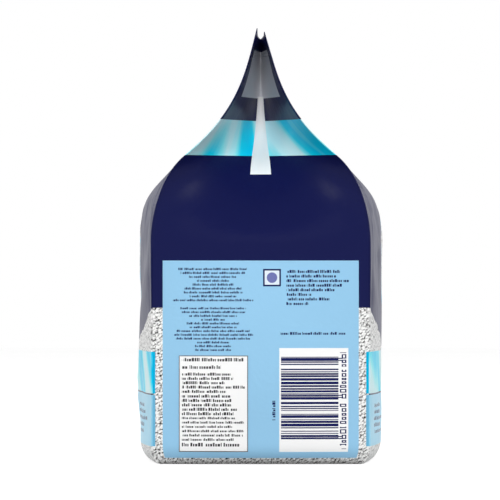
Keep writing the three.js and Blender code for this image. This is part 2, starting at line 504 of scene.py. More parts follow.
def close_mouth(film, top, y):
    """Adds the mouth's faces on the row of points that starts at top."""
    mesh = bmesh.new()
    mesh.from_mesh(film.data)
    mesh.verts.ensure_lookup_table()
    for corners in mouth_faces(y):
        mesh.faces.new([mesh.verts[top + corner] for corner in corners])
    mesh.to_mesh(film.data)
    mesh.free()


def make_film():
    """The whole film, from a flat grid wrapped round the fill."""
    columns = columns_around()
    heights = heights_up()
    upright = np.stack([column_points(column, heights) for column in columns], axis=1)
    under = np.stack(base_rows(upright[0]))
    points = np.concatenate([under, upright])
    rows, across = points.shape[:2]

    bpy.ops.mesh.primitive_grid_add(x_subdivisions=across - 1, y_subdivisions=rows - 1, size=1)
    film = bpy.context.object
    film.name = "bag_film"
    film.data.vertices.foreach_set("co", points.reshape(-1))
    close_mouth(film, (rows - 1) * across, points[-1, :, 1])

    along = np.array([column[3] for column in columns])
    depth = np.linspace(-1, 0, BASE_STEPS, endpoint=False) * HALF_GUSSET
    up = np.concatenate([depth, heights])
    flat = np.stack(np.broadcast_arrays(along[None, :], up[:, None]), axis=-1).reshape(-1, 2)
    write_uv(film, flat)
    turn_outwards(film, FILM_SMOOTH_ANGLE, FILM_WELD)
    return film


def write_uv(piece, flat):
    """Gives the piece its own flat coordinates, in metres, as its map named film."""
    mesh = piece.data
    while mesh.uv_layers:
        mesh.uv_layers.remove(mesh.uv_layers[0])
    layer = mesh.uv_layers.new(name="film")
    corners = np.empty(len(mesh.loops), dtype=np.int32)
    mesh.loops.foreach_get("vertex_index", corners)
    layer.data.foreach_set("uv", flat[corners].reshape(-1))


# The label, where its solid lies
LABEL_LOW, LABEL_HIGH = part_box("adhesive_label")
LABEL_STEPS = (30, 42)
LABEL_OFF = 0.12 * MM
LABEL_PAPER = 0.14 * MM
LABEL_SMOOTH_ANGLE = 40


def make_label():
    """A sheet that follows the gusset, just off the film."""
    wide, high = LABEL_STEPS
    xs = np.linspace(LABEL_LOW[0], LABEL_HIGH[0], wide + 1)
    zs = np.linspace(LABEL_LOW[2], LABEL_HIGH[2], high + 1)
    x, z = np.meshgrid(xs, zs)
    _, y, _ = gusset_surface(-1, x / (crease_x(z) - edge(z)), z)
    points = np.stack([x, y - LABEL_OFF - LABEL_PAPER, z], axis=-1)
    bpy.ops.mesh.primitive_grid_add(x_subdivisions=wide, y_subdivisions=high, size=1)
    label = bpy.context.object
    label.name = "paper_label"
    label.data.vertices.foreach_set("co", points.reshape(-1))
    write_uv(label, np.stack([x, z], axis=-1).reshape(-1, 2))
    pick_only(label)
    paper = label.modifiers.new("paper", "SOLIDIFY")
    paper.thickness = LABEL_PAPER
    paper.offset = 1 if label.data.polygons[0].normal.y > 0 else -1
    bpy.ops.object.modifier_apply(modifier=paper.name)
    turn_outwards(label, LABEL_SMOOTH_ANGLE)
    return label


def linear(level):
    """One 0 to 255 screen level as linear light."""
    share = level / 255
    return share / 12.92 if share <= 0.04045 else ((share + 0.055) / 1.055) ** 2.4


def ink(red, green, blue):
    return (linear(red), linear(green), linear(blue), 1)


NAVY = ink(18, 23, 73)
PALE_BLUE = ink(152, 203, 236)
PANEL_BLUE = ink(162, 224, 250)
WRAP_BLUE = ink(112, 182, 216)
CYAN = ink(0, 178, 222)
RIBBON_PALE = ink(222, 250, 255)
RIBBON_ICE = ink(206, 250, 255)
RIBBON_LIGHT = ink(140, 246, 255)
RIBBON_CYAN = ink(12, 224, 255)
RIBBON_DEEP = ink(0, 212, 252)
WHITE = ink(252, 252, 252)
BARE_FILM = ink(254, 254, 254)
# Painted shade: the bare window high in the gussets' fold is inked light grey, where the unprinted film
# is white, to stand for the shade deep in the fold
WINDOW_PAINTED_SHADE = ink(224, 224, 229)
FIN_FILM = ink(214, 226, 238)
# The dark of the granules' printed specks, and also of the painted shadow along the base's tuck folds
SPECK_AND_FOLD_SHADOW = ink(14, 13, 16)
GRANULE_LIGHT = ink(255, 255, 254)
GRANULE_SHADE = ink(178, 176, 176)
PRINT_NAVY = ink(18, 26, 84)
PRINT_BLACK = ink(20, 20, 24)
TOKEN_FIELD = ink(226, 236, 246)
TOKEN_INK = ink(112, 118, 176)
BORDER_GREY = ink(96, 96, 100)

# Heights and widths of the print on the film, in millimetres, as the film's map is read
RIBBON = (170.3, 190.0)
BARE_WINDOW = (202.7, 230.2)
BARE_HALF_WIDTH = 47.0
STRIP_HALF_WIDTH = 7.0
STRIP_FOOT = 159.9
STRIP_LAP = 1.0
GRANULE_TOP = 86.2
FIELD = (3.6, 112.2)
FIELD_HALF_WIDTH = 54.4
BLOCK = (39.0, 62.0)
BLOCK_HALF_WIDTH = 126.0
PANEL_FIELD = (10.0, 38.2)
BLOCK_WRAP = 58.5

# The panels' own print. The bed of granules lies lowest at mid width and is a little uneven.
HEAP_LOW = 64.0
HEAP_CURVE = 2.2
HEAP_UNEVEN = 6.0
HEAP_UNEVEN_SCALE = 0.05
BED_ENLARGED = 0.85
BED_LIGHTER = 0.15
WINDOW_HEIGHT = 122.0
WINDOW_RINGS = ((36.0, CYAN), (33.5, WHITE))
WINDOW_RADIUS = 31.5
PANEL_ROWS_LEFT = (-104.0, 34.0)
PANEL_ROWS_WIDTH = 70
PANEL_ROWS = {"Top": 33.0, "Pitch": 3.6, "Rows": 5.0, "Letter": 2.1, "Least": 0.5}

# Where each part of the print takes its piece of the ribbon's endless pattern
GUSSET_SWEEP = 31.0
PANEL_SWEEP = 90.0
BLOCK_SWEEP = 75.0
BLOCK_SWEEP_STRETCH = 0.8


class Wiring:
    """Short calls that add nodes to one tree and join them up."""

    def __init__(self, tree):
        self.tree = tree

    def add(self, kind, **settings):
        node = self.tree.nodes.new("ShaderNode" + kind)
        for name, value in settings.items():
            setattr(node, name, value)
        return node

    def join(self, value, socket):
        if isinstance(value, bpy.types.NodeSocket):
            self.tree.links.new(value, socket)
        else:
            socket.default_value = value

    def math(self, operation, *values, clamp=False):
        node = self.add("Math", operation=operation, use_clamp=clamp)
        for value, socket in zip(values, node.inputs):
            self.join(value, socket)
        return node.outputs[0]

    def mix(self, share, under, over):
        node = self.add("Mix", data_type="RGBA")
        self.join(share, node.inputs["Factor"])
        self.join(under, node.inputs[6])
        self.join(over, node.inputs[7])
        return node.outputs[2]

    def rise(self, value, low, high):
        """0 below low and 1 above high."""
        node = self.add("MapRange", interpolation_type="SMOOTHSTEP")
        self.join(value, node.inputs["Value"])
        self.join(low, node.inputs["From Min"])
        self.join(high, node.inputs["From Max"])
        return node.outputs[0]

    def fall(self, value, low, high):
        """1 below low and 0 above high."""
        return self.math("SUBTRACT", 1.0, self.rise(value, low, high))

    def ripple(self, value, pitch):
        return self.math("SINE", self.math("MULTIPLY", value, 2 * math.pi / pitch))

    def radius(self, x, y):
        squares = [self.math("POWER", side, 2.0) for side in (x, y)]
        return self.math("SQRT", self.math("ADD", *squares))

    def between(self, value, low, high):
        above = self.math("GREATER_THAN", value, low)
        below = self.math("LESS_THAN", value, high)
        return self.math("MULTIPLY", above, below)

    def patch(self, across, up, left, right, low, high):
        return self.math("MULTIPLY", self.between(across, left, right), self.between(up, low, high))

    def middle_patch(self, across, up, half_width, low, high):
        return self.patch(self.math("ABSOLUTE", across), up, -1, half_width, low, high)

    def point(self, x, y, z=0.0):
        node = self.add("CombineXYZ")
        for value, socket in zip((x, y, z), node.inputs):
            self.join(value, socket)
        return node.outputs[0]

    def vector(self, operation, *values):
        node = self.add("VectorMath", operation=operation)
        for value, socket in zip(values, node.inputs):
            self.join(value, socket)
        return node.outputs["Value" if operation == "DOT_PRODUCT" else "Vector"]

    def noise(self, vector, scale, detail=2.0, output="Fac", distortion=0.0):
        node = self.add("TexNoise")
        self.join(vector, node.inputs["Vector"])
        node.inputs["Scale"].default_value = scale
        node.inputs["Detail"].default_value = detail
        node.inputs["Distortion"].default_value = distortion
        return node.outputs[output]

    def cells(self, vector, scale, feature="F1", output="Distance", dimensions="2D"):
        node = self.add("TexVoronoi", feature=feature, voronoi_dimensions=dimensions)
        self.join(vector, node.inputs["W" if dimensions == "1D" else "Vector"])
        node.inputs["Scale"].default_value = scale
        return node.outputs[output]

    def chance(self, value):
        node = self.add("TexWhiteNoise", noise_dimensions="1D")
        self.join(value, node.inputs["W"])
        return node.outputs["Value"]

    def ramp(self, value, stops):
        node = self.add("ValToRGB")
        self.join(value, node.inputs["Fac"])
        elements = node.color_ramp.elements
        while len(elements) < len(stops):
            elements.new(0.5)
        for element, (place, colour) in zip(elements, stops):
            element.position = place
            element.color = colour
        return node.outputs["Color"]

    def group(self, tree, **values):
        node = self.tree.nodes.new("ShaderNodeGroup")
        node.node_tree = tree
        for name, value in values.items():
            self.join(value, node.inputs[name])
        return node


def new_group(name, inputs, outputs):
    """An empty node group. Inputs and outputs are names, numbers unless the name says Color."""
    tree = bpy.data.node_groups.new(name, "ShaderNodeTree")
    for names, way in ((inputs, "INPUT"), (outputs, "OUTPUT")):
        for label in names:
            kind = "NodeSocketColor" if label.endswith("Color") else "NodeSocketFloat"
            tree.interface.new_socket(name=label, in_out=way, socket_type=kind)
    entry = tree.nodes.new("NodeGroupInput")
    leave = tree.nodes.new("NodeGroupOutput")
    return Wiring(tree), entry.outputs, leave.inputs


# How small print is made up. Words and letters come so many to a letter's height, cut apart where
# the middle between two is nearer than the gap. A hollow letter keeps a rim. The strides make the
# words, letters and lengths of each row its own.
SMALL_PRINT_INPUTS = [
    "Across", "Up", "Left", "Right", "Top", "Pitch", "Rows", "Letter", "Centred", "Least", "Hole", "Seed",
]
WORDS_TO_HEIGHT = 0.24
WORD_GAP = 0.055
LETTERS_TO_HEIGHT = 1.45
LETTER_GAP = 0.13
LOW_LETTERS = 0.62
ASCENDER = 0.28
HOLLOW_RIM = 0.21
HOLLOW_STEM = 0.34
ROW_STRIDE = 7.31
WORD_STRIDE = 3.7
LETTER_STRIDE = 9.1


def small_print_group():
    """Rows of marks the size of small print, which say nothing: words, gaps and line ends."""
    w, get, put = new_group("small_print", SMALL_PRINT_INPUTS, ["Ink"])
    from_top = w.math("DIVIDE", w.math("SUBTRACT", get["Top"], get["Up"]), get["Pitch"])
    row = w.math("FLOOR", from_top)
    in_rows = w.between(row, -0.5, w.math("SUBTRACT", get["Rows"], 0.5))
    down = w.math("DIVIDE", w.math("MULTIPLY", w.math("FRACT", from_top), get["Pitch"]), get["Letter"])
    key = w.math("MULTIPLY_ADD", row, ROW_STRIDE, get["Seed"])
    half = w.math("MULTIPLY", w.math("SUBTRACT", get["Right"], get["Left"]), 0.5)
    spare = w.math("SUBTRACT", 1.0, get["Least"])
    share = w.math("MULTIPLY_ADD", w.chance(key), spare, get["Least"])
    half_line = w.math("MULTIPLY", half, share)
    from_left = w.math("ADD", get["Left"], half_line)
    shift = w.math("MULTIPLY", w.math("SUBTRACT", half, half_line), get["Centred"])
    off = w.math("ABSOLUTE", w.math("SUBTRACT", get["Across"], w.math("ADD", from_left, shift)))
    in_line = w.math("LESS_THAN", off, half_line)
    letters = w.math("DIVIDE", get["Across"], get["Letter"])
    word_at = w.math("MULTIPLY_ADD", letters, WORDS_TO_HEIGHT, w.math("MULTIPLY", key, WORD_STRIDE))
    from_gap = w.cells(word_at, 1.0, "DISTANCE_TO_EDGE", dimensions="1D")
    in_word = w.math("GREATER_THAN", from_gap, WORD_GAP)
    letter_at = w.math("MULTIPLY_ADD", letters, LETTERS_TO_HEIGHT, w.math("MULTIPLY", key, LETTER_STRIDE))
    from_side = w.cells(letter_at, 1.0, "DISTANCE_TO_EDGE", dimensions="1D")
    in_letter = w.math("GREATER_THAN", from_side, LETTER_GAP)
    tall = w.math("GREATER_THAN", w.chance(w.math("FLOOR", letter_at)), LOW_LETTERS)
    top = w.math("MULTIPLY_ADD", tall, -ASCENDER, ASCENDER)
    in_height = w.between(down, top, 1.0)
    inside = w.between(down, w.math("ADD", top, HOLLOW_RIM), 1 - HOLLOW_RIM)
    hole = w.math("MULTIPLY", inside, w.math("GREATER_THAN", from_side, HOLLOW_STEM))
    solid = w.math("SUBTRACT", 1.0, w.math("MULTIPLY", hole, get["Hole"]))
    mask = w.math("MULTIPLY", in_rows, solid)
    for part in (in_line, in_word, in_letter, in_height):
        mask = w.math("MULTIPLY", mask, part)
    w.join(mask, put["Ink"])
    return w.tree


def print_rows(w, across, up, colour, shade, **rows):
    """Lays rows of small print over a colour, flush left and solid unless told otherwise."""
    lines = w.group(SMALL_PRINT, Across=across, Up=up, **{"Centred": 0.0, "Hole": 0.0, **rows})
    return w.mix(lines.outputs[0], colour, shade)


# The printed granules, with scales per millimetre: how the bed is bent, which way a granule's
# shaded side faces and how dark it is, and the cracks, which are deep only in some places
GRANULE_SCALE = 0.62
BEND_SCALE = 1.1
BEND_REACH = 0.9
SHADED_WAY = (0.55, -0.85, 0)
SHADED_FROM = (0.05, 0.95)
SHADED_SHARE = 0.8
DEPTH_SCALE = 0.55
DEPTH_RANGE = (0.47, 0.53)
CRACK_RANGE = (0.14, 0.40)
CRACK_UNDER_SHADE = 1.4
CRACK_UNDER_LIGHT = 0.45
SHALLOW_CRACK = 0.1


def granule_group():
    """A printed bed of pale mineral granules, lit from one side, with dark gaps between them."""
    w, get, put = new_group("granule_print", ["Across", "Up"], ["Color"])
    flat = w.point(get["Across"], get["Up"])
    bend = w.noise(flat, BEND_SCALE, 1.0, "Color")
    place = w.vector("MULTIPLY_ADD", bend, (BEND_REACH, BEND_REACH, 0), flat)
    gap = w.cells(place, GRANULE_SCALE, "DISTANCE_TO_EDGE")
    off = w.vector("SUBTRACT", place, w.cells(place, GRANULE_SCALE, output="Position"))
    turned = w.rise(w.vector("DOT_PRODUCT", off, SHADED_WAY), *SHADED_FROM)
    body = w.mix(w.math("MULTIPLY", turned, SHADED_SHARE), GRANULE_LIGHT, GRANULE_SHADE)
    deep = w.rise(w.noise(flat, DEPTH_SCALE, 2.0), *DEPTH_RANGE)
    dark_side = w.math("MULTIPLY_ADD", turned, CRACK_UNDER_SHADE, CRACK_UNDER_LIGHT)
    crack = w.math("MULTIPLY", w.fall(gap, *CRACK_RANGE), dark_side, clamp=True)
    depth = w.math("MULTIPLY_ADD", deep, 1 - SHALLOW_CRACK, SHALLOW_CRACK)
    w.join(w.mix(w.math("MULTIPLY", crack, depth), body, SPECK_AND_FOLD_SHADOW), put["Color"])
    return w.tree


# The ribbon's sweeps: how they lean, the scales per millimetre of the broad and fine ones across
# and up, and the share of the fine ones
RIBBON_LEAN = 0.45
BROAD_SCALES = (0.034, 0.012)
FINE_SCALES = (0.16, 0.02)
FINE_SHARE = 0.10
RIBBON_STOPS = [
    (0.30, RIBBON_PALE), (0.42, RIBBON_ICE), (0.48, RIBBON_LIGHT),
    (0.55, RIBBON_CYAN), (0.64, RIBBON_DEEP), (0.72, RIBBON_LIGHT),
]


def ribbon_group():
    """A band of a few broad, soft sweeps from ice to cyan."""
    w, get, put = new_group("ribbon_print", ["Across", "Up", "Shift"], ["Color"])
    lean = w.math("MULTIPLY_ADD", get["Up"], RIBBON_LEAN, w.math("ADD", get["Across"], get["Shift"]))

    def sweeps(scales, detail):
        place = w.point(w.math("MULTIPLY", lean, scales[0]), w.math("MULTIPLY", get["Up"], scales[1]))
        return w.noise(place, 1.0, detail)

    broad = sweeps(BROAD_SCALES, 0.0)
    fine = w.math("SUBTRACT", sweeps(FINE_SCALES, 1.0), 0.5)
    level = w.math("MULTIPLY_ADD", fine, FINE_SHARE, broad)
    w.join(w.ramp(level, RIBBON_STOPS), put["Color"])
    return w.tree


def gusset_group(granules, ribbon):
    """The print that both gussets share."""
    w, get, put = new_group("gusset_print", ["Across", "Up"], ["Color"])
    across, up = get["Across"], get["Up"]
    bed = w.group(granules, Across=across, Up=up).outputs[0]
    sweep = w.group(ribbon, Across=across, Up=up, Shift=GUSSET_SWEEP).outputs[0]
    colour = w.mix(w.math("LESS_THAN", up, GRANULE_TOP), NAVY, bed)
    colour = w.mix(w.middle_patch(across, up, FIELD_HALF_WIDTH, *FIELD), colour, PALE_BLUE)
    wrapped = w.math("GREATER_THAN", w.math("ABSOLUTE", across), BLOCK_WRAP)
    colour = w.mix(w.math("MULTIPLY", wrapped, w.between(up, *BLOCK)), colour, CYAN)
    colour = w.mix(w.math("MULTIPLY", wrapped, w.between(up, *PANEL_FIELD)), colour, WRAP_BLUE)
    colour = w.mix(w.between(up, *RIBBON), colour, sweep)
    # Painted shade: the bare window in the fold takes a grey for the fold's shade, while the strip below
    # it stays white
    colour = w.mix(w.middle_patch(across, up, BARE_HALF_WIDTH, *BARE_WINDOW), colour, WINDOW_PAINTED_SHADE)
    strip_top = BARE_WINDOW[0] + STRIP_LAP
    strip = w.middle_patch(across, up, STRIP_HALF_WIDTH, STRIP_FOOT, strip_top)
    w.join(w.mix(strip, colour, BARE_FILM), put["Color"])
    return w.tree


def panel_group(granules, ribbon):
    """The print of the front and back panels: plain fields, a bed of granules and a round window."""
    w, get, put = new_group("panel_print", ["Across", "Up"], ["Color"])
    across, up = get["Across"], get["Up"]
    wide, high = (w.math("MULTIPLY", way, BED_ENLARGED) for way in (across, up))
    bed = w.mix(BED_LIGHTER, w.group(granules, Across=wide, Up=high).outputs[0], GRANULE_LIGHT)
    side = w.math("DIVIDE", w.math("ABSOLUTE", across), 1000 * HALF_PANEL)
    heap = w.math("MULTIPLY_ADD", w.math("POWER", side, HEAP_CURVE), GRANULE_TOP - HEAP_LOW, HEAP_LOW)
    uneven = w.noise(w.point(across, 3.0), HEAP_UNEVEN_SCALE, 2.0)
    heap = w.math("ADD", heap, w.math("MULTIPLY_ADD", uneven, HEAP_UNEVEN, -HEAP_UNEVEN / 2))
    colour = w.mix(w.math("LESS_THAN", up, heap), NAVY, bed)
    sweep = w.group(ribbon, Across=across, Up=up, Shift=PANEL_SWEEP).outputs[0]
    colour = w.mix(w.between(up, *RIBBON), colour, sweep)
    stretched = w.math("MULTIPLY", across, BLOCK_SWEEP_STRETCH)
    sweep = w.group(ribbon, Across=stretched, Up=up, Shift=BLOCK_SWEEP).outputs[0]
    colour = w.mix(w.middle_patch(across, up, BLOCK_HALF_WIDTH, *BLOCK), colour, sweep)
    colour = w.mix(w.middle_patch(across, up, BLOCK_HALF_WIDTH, *PANEL_FIELD), colour, PANEL_BLUE)
    rule = w.middle_patch(across, up, BLOCK_HALF_WIDTH, PANEL_FIELD[1], BLOCK[0])
    colour = w.mix(rule, colour, NAVY)
    radius = w.radius(across, w.math("SUBTRACT", up, WINDOW_HEIGHT))
    for reach, shade in (*WINDOW_RINGS, (WINDOW_RADIUS, bed)):
        colour = w.mix(w.math("LESS_THAN", radius, reach), colour, shade)
    for left in PANEL_ROWS_LEFT:
        right = left + PANEL_ROWS_WIDTH
        colour = print_rows(w, across, up, colour, PRINT_NAVY, Left=left, Right=right, Seed=left,
                            **PANEL_ROWS)
    w.join(colour, put["Color"])
    return w.tree


# The seam that closes the film into a tube lies flat on the back panel, a little off its middle
SEAM_WIDTH = 12.0
BACK_SEAM = 1000 * (AROUND - HALF_GUSSET - HALF_PANEL) - SEAM_WIDTH / 2

# The film's finest relief, in millimetres, with scales per millimetre: granules that press
# through up to the level of the fill, in patches, a crinkle all over, ridges across the mouth's
# seal, the back seam, and the folds and the welded fin of the base
LUMP_SCALE = 0.42
LUMP_HEIGHT = -0.10
LUMPS_END = (140.0, 172.0)
LUMP_PATCH_SCALE = 0.03
LUMP_PATCHES = (0.40, 0.62)
CRINKLE_SCALE = 0.09
CRINKLE_TWIST = 1.2
CRINKLE_HEIGHT = 0.35
SEAL_RIDGE_PITCH = 1.6
SEAL_RIDGE_HEIGHT = 0.12
SEAL_EASE = 0.8
WELD_PITCH = 2.2
SEAM_EASE = 0.4
SEAM_HEIGHT = 0.45
SEAM_WELD = 0.08
BASE_FOLD_DEPTH = 0.5
BASE_FOLD_EASE = (0.4, 1.3)
FIN_HEIGHT = 0.5
FIN_WELD = 0.1
DULLNESS_SCALE = 0.06
DULLNESS_LEAST = 0.26
DULLNESS_SPARE = 0.16


def base_marks(w, across, up):
    """The folds of the tucks, which run in from the corners, and the welded fin between them."""
    under = w.math("LESS_THAN", up, 0.0)
    gusset = 1000 * GUSSET_WIDTH
    step = 1000 * PANEL_WIDTH + gusset
    turned = w.math("MODULO", w.math("ADD", across, gusset / 2), step)
    off_fold = w.math("ABSOLUTE", w.math("SUBTRACT", turned, gusset))
    for other in (turned, w.math("SUBTRACT", step, turned)):
        off_fold = w.math("MINIMUM", off_fold, other)
    fold = w.fall(off_fold, *BASE_FOLD_EASE)
    from_middle = w.math("ADD", up, 1000 * HALF_GUSSET)
    in_fin = w.math("LESS_THAN", from_middle, 1000 * FIN_WIDTH / 2)
    fin = w.math("MULTIPLY", in_fin, w.math("GREATER_THAN", turned, gusset))
    return w.math("MULTIPLY", under, fold), w.math("MULTIPLY", under, fin)


def film_relief_group():
    """How the film stands over the fill, in millimetres, and how dull it is."""
    w, get, put = new_group("film_relief", ["Across", "Up"], ["Height", "Roughness"])
    across, up = get["Across"], get["Up"]
    flat = w.point(across, up)
    lumps = w.math("MULTIPLY", w.cells(flat, LUMP_SCALE, "SMOOTH_F1"), LUMP_HEIGHT)
    patches = w.rise(w.noise(flat, LUMP_PATCH_SCALE, 2.0), *LUMP_PATCHES)
    lumps = w.math("MULTIPLY", w.math("MULTIPLY", lumps, w.fall(up, *LUMPS_END)), patches)
    crinkle = w.noise(flat, CRINKLE_SCALE, 3.0, distortion=CRINKLE_TWIST)
    crinkle = w.math("MULTIPLY", crinkle, CRINKLE_HEIGHT)
    sealed = w.rise(up, 1000 * SEAL_FOOT, 1000 * SEAL_FOOT + SEAL_EASE)
    ridges = w.math("MULTIPLY", w.ripple(up, SEAL_RIDGE_PITCH), sealed)
    ridges = w.math("MULTIPLY", ridges, SEAL_RIDGE_HEIGHT)
    height = w.math("ADD", w.math("ADD", lumps, crinkle), ridges)
    fold, fin = base_marks(w, across, up)
    height = w.math("MULTIPLY_ADD", fold, -BASE_FOLD_DEPTH, height)
    welds = w.math("MULTIPLY_ADD", w.ripple(across, WELD_PITCH), FIN_WELD, FIN_HEIGHT)
    height = w.math("MULTIPLY_ADD", fin, welds, height)
    off_seam = w.math("SUBTRACT", across, BACK_SEAM)
    seam_starts = w.rise(off_seam, -SEAM_EASE, SEAM_EASE)
    seam_stops = w.fall(off_seam, SEAM_WIDTH - SEAM_EASE, SEAM_WIDTH + SEAM_EASE)
    seam = w.math("MULTIPLY", seam_starts, seam_stops)
    welds = w.math("MULTIPLY_ADD", w.ripple(up, WELD_PITCH), SEAM_WELD, SEAM_HEIGHT)
    w.join(w.math("MULTIPLY_ADD", seam, welds, height), put["Height"])
    dull = w.noise(flat, DULLNESS_SCALE, 3.0)
    w.join(w.math("MULTIPLY_ADD", dull, DULLNESS_SPARE, DULLNESS_LEAST), put["Roughness"])
    return w.tree


GRANULES = granule_group()
SMALL_PRINT = small_print_group()
RIBBON_PRINT = ribbon_group()
GUSSET_PRINT = gusset_group(GRANULES, RIBBON_PRINT)
PANEL_PRINT = panel_group(GRANULES, RIBBON_PRINT)
FILM_RELIEF = film_relief_group()


def new_material(name):
    material = bpy.data.materials.new(name)
    material.use_nodes = True
    nodes = material.node_tree.nodes
    nodes.clear()
    w = Wiring(material.node_tree)
    shader = w.add("BsdfPrincipled")
    output = w.add("OutputMaterial")
    w.join(shader.outputs[0], output.inputs["Surface"])
    return material, w, shader


def add_bump(w, shader, height, distance, strength=1.0):
    bump = w.add("Bump")
    bump.inputs["Distance"].default_value = distance
    bump.inputs["Strength"].default_value = strength
    w.join(height, bump.inputs["Height"])
    w.join(bump.outputs[0], shader.inputs["Normal"])


def film_place(w):
    """The piece's flat coordinates in millimetres."""
    parts = w.add("SeparateXYZ")
    w.join(w.add("UVMap", uv_map="film").outputs[0], parts.inputs[0])
    return [w.math("MULTIPLY", parts.outputs[i], 1000.0) for i in (0, 1)]


# Small print on the gussets: left, right, top, pitch, rows, letter height, whether it is centred,
# and the shortest line as a share of the longest
GUSSET_ROWS = [
    (-49.0, -4.0, 108.2, 2.14, 9, 1.25, 1, 0.2),
    (-50.0, -3.0, 86.6, 2.08, 12, 1.2, 1, 0.25),
    (14.2, 51.5, 107.0, 2.52, 8, 1.6, 0, 0.3),
    (10.8, 47.5, 72.9, 2.5, 1, 1.5, 0, 0.95),
]
# Two turned rows beside the bars, which read upwards: left, low, high, letter height, hollow
TURNED_ROWS = [
    (43.9, 8.5, 62.6, 3.6, 1),
    (6.4, 24.5, 35.6, 1.7, 0),
]
TURNED_PITCH = 1.2
TURNED_LEAST = 0.98

# The field of bars: left, right, low and high of the field and of the bars in it, how far the
# guard bars reach, the pitches, how far the bars' pitch wavers, and the least and the spare width
# of a bar as shares of the pitch
BAR_FIELD = (10.3, 48.6, 7.0, 64.1)
BARS = (11.2, 43.1, 14.0, 59.3)
BAR_GUARD = 45.6
BAR_PITCH = 1.55
BAR_WAVER = 2.5
BAR_WAVER_SCALE = 0.16
BAR_SHARE = (0.26, 0.60)
BAR_PLACES = 0.85
GUARD_PITCH = 1.15

# The small framed token: left, right, low and high, its frame and the disc in it
TOKEN = (1.3, 11.2, 98.0, 107.6)
TOKEN_FRAME = 0.9
TOKEN_DISC = 2.9

FILM_BUMP = 0.6
FILM_IOR = 1.20
# How far the base's tuck folds are darkened, as painted shadow in their creases
BASE_FOLD_PAINTED_SHADOW = 0.5


def bar_field(w, across, up, colour):
    """A white field with bars of uneven width, which encode nothing."""
    left, right, low, high = BARS
    least, spare = BAR_SHARE
    colour = w.mix(w.patch(across, up, *BAR_FIELD), colour, WHITE)
    waver = w.noise(w.point(up, 4.0), BAR_WAVER_SCALE, 1.0)
    steps = w.math("MULTIPLY_ADD", waver, BAR_WAVER, w.math("DIVIDE", up, BAR_PITCH))
    bar = w.math("FLOOR", steps)
    share = w.math("MULTIPLY_ADD", w.chance(w.math("ADD", bar, 0.5)), spare, least)
    room = w.math("SUBTRACT", BAR_PLACES, share)
    start = w.math("MULTIPLY", w.chance(w.math("ADD", bar, 0.3)), room)
    dark = w.between(w.math("FRACT", steps), start, w.math("ADD", start, share))
    bars = w.math("MULTIPLY", dark, w.patch(across, up, left, right, low, high))
    colour = w.mix(bars, colour, PRINT_NAVY)
    reach = w.between(across, left, BAR_GUARD)
    for start in (low, (low + high) / 2, high - 2 * GUARD_PITCH):
        for line in (0, 1):
            foot = start + line * GUARD_PITCH
            one = w.between(up, foot, foot + GUARD_PITCH / 2)
            colour = w.mix(w.math("MULTIPLY", one, reach), colour, PRINT_NAVY)
    return colour


def token(w, across, up, colour):
    """A small framed field with a plain disc."""
    left, right, low, high = TOKEN
    inner = (left + TOKEN_FRAME, right - TOKEN_FRAME, low + TOKEN_FRAME, high - TOKEN_FRAME)
    colour = w.mix(w.patch(across, up, *TOKEN), colour, PRINT_NAVY)
    colour = w.mix(w.patch(across, up, *inner), colour, TOKEN_FIELD)
    off_x = w.math("SUBTRACT", across, (left + right) / 2)
    off_y = w.math("SUBTRACT", up, (low + high) / 2)
    return w.mix(w.math("LESS_THAN", w.radius(off_x, off_y), TOKEN_DISC), colour, TOKEN_INK)


def gusset_rows(w, across, up, colour):
    """Adds the small print that both gussets have."""
    for left, right, top, pitch, rows, letter, centred, least in GUSSET_ROWS:
        colour = print_rows(w, across, up, colour, PRINT_NAVY, Left=left, Right=right, Top=top,
                            Pitch=pitch, Rows=float(rows), Letter=letter,
                            Centred=float(centred), Least=least, Seed=top)
    return colour


def labelled_gusset_marks(w, across, up, colour):
    """Adds what only the labelled gusset has: bars, the turned rows beside them and the token."""
    colour = bar_field(w, across, up, colour)
    leftward = w.math("MULTIPLY", across, -1.0)
    for left, low, high, letter, hollow in TURNED_ROWS:
        colour = print_rows(w, up, leftward, colour, PRINT_NAVY, Left=low, Right=high, Top=-left,
                            Pitch=letter * TURNED_PITCH, Rows=1.0, Letter=letter,
                            Least=TURNED_LEAST, Hole=float(hollow), Seed=low)
    return token(w, across, up, colour)


def printed_film():
    material, w, shader = new_material("printed_film")
    around, up = film_place(w)
    panel, gusset = 1000 * PANEL_WIDTH, 1000 * GUSSET_WIDTH
    step = panel + gusset
    second_half = w.math("GREATER_THAN", around, step - gusset / 2)
    shifted = w.math("SUBTRACT", around, w.math("MULTIPLY", second_half, step))
    on_gusset = w.math("LESS_THAN", shifted, gusset / 2)
    panel_across = w.math("SUBTRACT", shifted, (gusset + panel) / 2)
    sides = w.group(PANEL_PRINT, Across=panel_across, Up=up).outputs[0]
    common = w.group(GUSSET_PRINT, Across=shifted, Up=up).outputs[0]
    common = gusset_rows(w, shifted, up, common)
    marked = labelled_gusset_marks(w, shifted, up, common)
    labelled_end = w.math("LESS_THAN", around, gusset / 2)
    colour = w.mix(on_gusset, sides, w.mix(labelled_end, common, marked))
    fold, fin = base_marks(w, around, up)
    colour = w.mix(fin, colour, FIN_FILM)
    # Painted shadow: the tucks' fold lines on the base are darkened halfway towards the speck colour
    colour = w.mix(w.math("MULTIPLY", fold, BASE_FOLD_PAINTED_SHADOW), colour, SPECK_AND_FOLD_SHADOW)
    w.join(colour, shader.inputs["Base Color"])
    relief = w.group(FILM_RELIEF, Across=around, Up=up)
    w.join(relief.outputs["Roughness"], shader.inputs["Roughness"])
    add_bump(w, shader, relief.outputs["Height"], MM, FILM_BUMP)
    shader.inputs["IOR"].default_value = FILM_IOR
    return material


